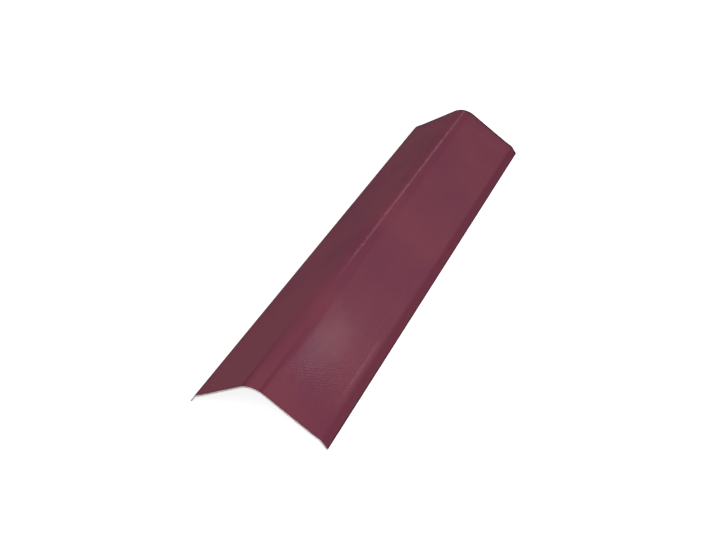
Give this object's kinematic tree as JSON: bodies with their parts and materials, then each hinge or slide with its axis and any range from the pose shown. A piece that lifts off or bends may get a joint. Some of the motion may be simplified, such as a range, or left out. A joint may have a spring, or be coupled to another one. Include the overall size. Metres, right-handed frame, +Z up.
{
  "type": "verge flashing",
  "caption": "Thick coated sheet bent along its length, with a rounded ridge and a turned-in lip along each long edge, that caps the gable edge of a roof.",
  "frame": {"origin": "on the floor under the middle of the piece, as it stands on the cut edges of its two lips with the ridge uppermost", "axes": "+X across the piece, +Y along its length, +Z up through the ridge"},
  "size_m": [0.2836, 1.04, 0.0946],
  "materials": {
    "coated_sheet": "satin"
  },
  "bodies": {
    "root": {"verge_flashing": "coated_sheet"}
  },
  "joints": []
}
